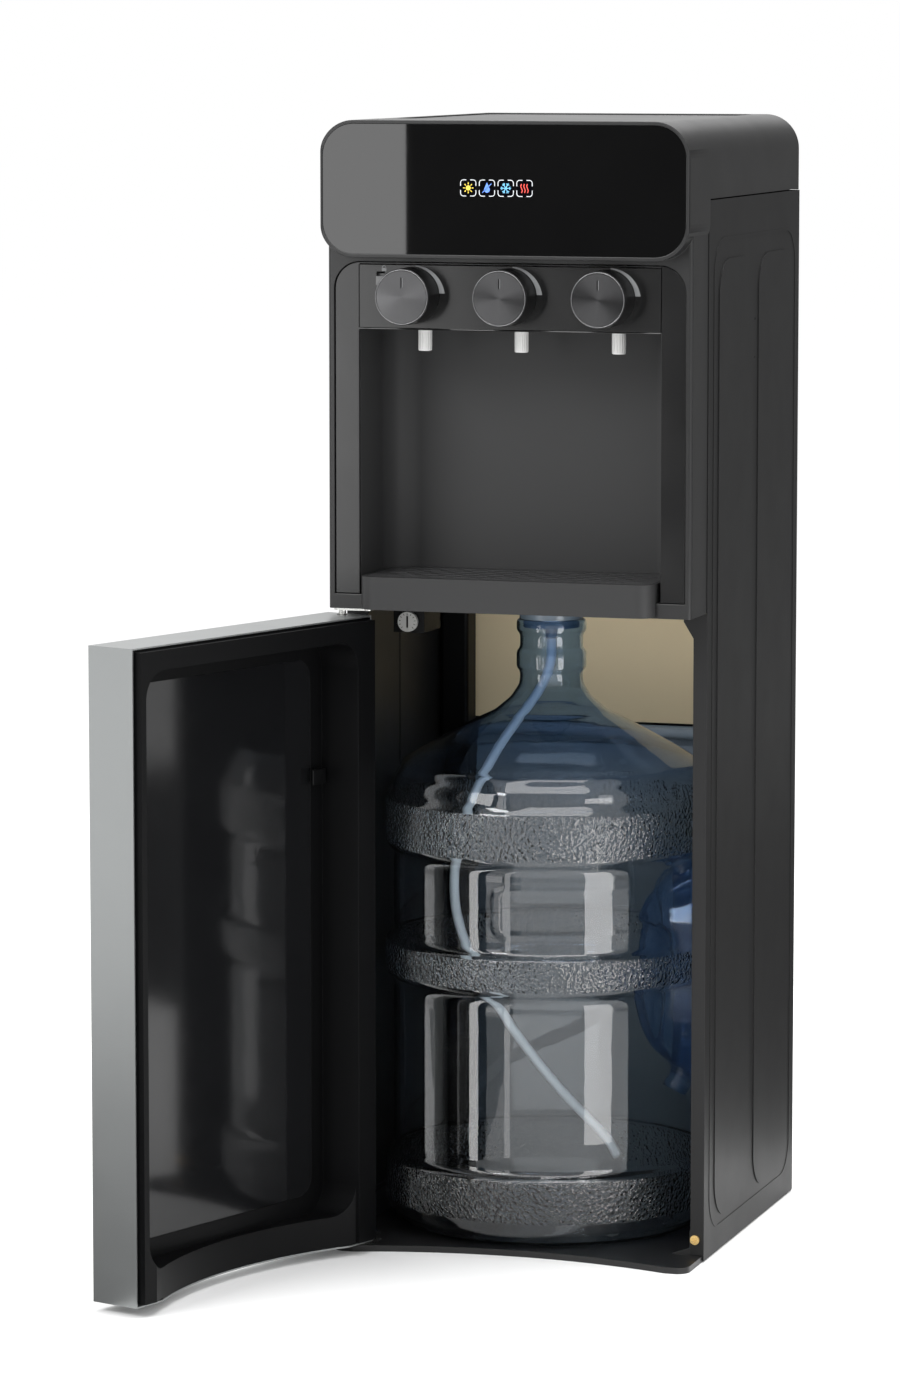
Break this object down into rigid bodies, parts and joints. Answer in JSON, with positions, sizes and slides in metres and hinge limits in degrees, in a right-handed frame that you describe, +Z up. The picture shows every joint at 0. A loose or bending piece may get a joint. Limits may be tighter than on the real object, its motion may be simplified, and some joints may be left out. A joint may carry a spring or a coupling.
{
  "type": "water dispenser",
  "caption": "Floor-standing bottom-loading water dispenser with rotary taps, a dispensing alcove, a drip tray and a side-hinged bottle bay door shown open over a large bottle.",
  "frame": {"origin": "on the floor, at the centre of the cabinet's footprint", "axes": "+Z up, the front of the cabinet faces -Y, +X to the right seen from the front"},
  "size_m": [0.4031, 0.6055, 0.904],
  "materials": {
    "graphite_coated_steel": "satin powder coat",
    "graphite_plastic": "fine matt texture",
    "black_plastic": "matt",
    "black_glass": "gloss, opaque black",
    "lamp_tile": "gloss, back-lit",
    "print_grey": "printed",
    "white_plastic": "semi-gloss",
    "valve_plastic": "natural",
    "galvanised_steel": "galvanised",
    "tan_board": "matt tan coat",
    "black_rubber": "matt",
    "compressor_black": "gloss black",
    "stainless_steel": "brushed",
    "mica_band": "matt",
    "foam_white": "expanded foam",
    "pump_grey": "satin",
    "circuit_green": "solder mask",
    "switch_red": "gloss",
    "switch_green": "gloss",
    "bright_steel": "zinc plated",
    "brass_screw": "yellow passivated",
    "knob_black": "satin",
    "spun_metal": "dark anodised, circular brushing",
    "silver_skin": "satin silver metallic",
    "gloss_black": "high gloss",
    "blue_polycarbonate": "clear blue tint",
    "clear_hose": "translucent silicone"
  },
  "bodies": {
    "cabinet": {"base_pan": "graphite_plastic", "floor_pads": "black_rubber", "side_panel_left": "graphite_coated_steel", "side_panel_right": "graphite_coated_steel", "rear_panel": "graphite_coated_steel", "top_cover": "graphite_plastic", "front_shell": "graphite_plastic", "display_glass": "black_glass", "indicator_lamps": "lamp_tile", "fascia_insert": "graphite_plastic", "control_panel": "graphite_plastic", "dial_scales": "print_grey", "alcove_liner": "black_plastic", "spout_hot": "white_plastic", "spout_ambient": "white_plastic", "spout_cold": "white_plastic", "valve_hot": "valve_plastic", "valve_ambient": "valve_plastic", "valve_cold": "valve_plastic", "mid_deck": "galvanised_steel", "bay_back_panel": "tan_board", "bay_lower_panel": "galvanised_steel", "pipe_duct": "black_plastic", "intake_dock": "black_rubber", "thermostat_housing": "black_plastic", "compressor": "compressor_black", "compressor_grommets": "black_rubber", "hot_tank": "stainless_steel", "heater_band": "mica_band", "cold_tank": "stainless_steel", "cold_jacket": "foam_white", "pump": "pump_grey", "control_board": "circuit_green", "condenser": "compressor_black", "switch_plate": "black_plastic", "power_inlet": "black_plastic", "drain_spout": "white_plastic", "hinge_bracket_top": "bright_steel", "hinge_bracket_bottom": "bright_steel", "cabinet_screws": "brass_screw"},
    "knob_hot_body": {"knob_hot": "knob_black", "knob_face_hot": "spun_metal"},
    "knob_ambient_body": {"knob_ambient": "knob_black", "knob_face_ambient": "spun_metal"},
    "knob_cold_body": {"knob_cold": "knob_black", "knob_face_cold": "spun_metal"},
    "child_lock_body": {"child_lock": "print_grey"},
    "tray_body": {"drip_tray": "graphite_plastic"},
    "grille_body": {"drip_grille": "black_plastic"},
    "door": {"door_skin": "silver_skin", "door_liner": "black_plastic", "door_inner_panel": "gloss_black", "door_clip": "black_plastic"},
    "bottle_body": {"bottle": "blue_polycarbonate", "probe_cap": "white_plastic", "suction_hose": "clear_hose"},
    "thermostat_body": {"thermostat_dial": "white_plastic"},
    "switch_hot_body": {"switch_hot": "switch_red"},
    "switch_cold_body": {"switch_cold": "switch_green"},
    "drain_cap_body": {"drain_cap": "black_rubber"}
  },
  "joints": [
    {"name": "door_hinge", "type": "hinge", "parent": "cabinet", "child": "door", "pos_m": [-0.141, -0.1565, 0.26], "axis": [0, 0, -1], "range_deg": [-108.9, 41.1]},
    {"name": "bottle_slide", "type": "slide", "parent": "cabinet", "child": "bottle_body", "axis": [0, -1, 0], "range_m": [0, 0.05]},
    {"name": "knob_hot_turn", "type": "hinge", "parent": "cabinet", "child": "knob_hot_body", "pos_m": [-0.0795, -0.17, 0.767], "axis": [0, 1, 0], "range_deg": [0, 90]},
    {"name": "knob_ambient_turn", "type": "hinge", "parent": "cabinet", "child": "knob_ambient_body", "pos_m": [0, -0.17, 0.767], "axis": [0, 1, 0], "range_deg": [0, 90]},
    {"name": "knob_cold_turn", "type": "hinge", "parent": "cabinet", "child": "knob_cold_body", "pos_m": [0.0795, -0.17, 0.767], "axis": [0, 1, 0], "range_deg": [0, 90]},
    {"name": "child_lock_slide", "type": "slide", "parent": "cabinet", "child": "child_lock_body", "axis": [0, 0, 1], "range_m": [0, 0.003], "stiffness_N_per_m": 250},
    {"name": "tray_slide", "type": "slide", "parent": "cabinet", "child": "tray_body", "axis": [0, -1, 0], "range_m": [0, 0.12]},
    {"name": "grille_lift", "type": "slide", "parent": "tray_body", "child": "grille_body", "axis": [0, 0, 1], "range_m": [0, 0.04]},
    {"name": "thermostat_turn", "type": "hinge", "parent": "cabinet", "child": "thermostat_body", "pos_m": [-0.1, -0.114, 0.504], "axis": [0, 1, 0], "range_deg": [-135, 135]},
    {"name": "switch_hot_rock", "type": "hinge", "parent": "cabinet", "child": "switch_hot_body", "pos_m": [-0.092, 0.151, 0.812], "axis": [1, 0, 0], "range_deg": [-8, 8]},
    {"name": "switch_cold_rock", "type": "hinge", "parent": "cabinet", "child": "switch_cold_body", "pos_m": [-0.062, 0.151, 0.812], "axis": [1, 0, 0], "range_deg": [-8, 8]},
    {"name": "drain_cap_pull", "type": "slide", "parent": "cabinet", "child": "drain_cap_body", "axis": [0, 1, 0], "range_m": [0, 0.02]}
  ]
}
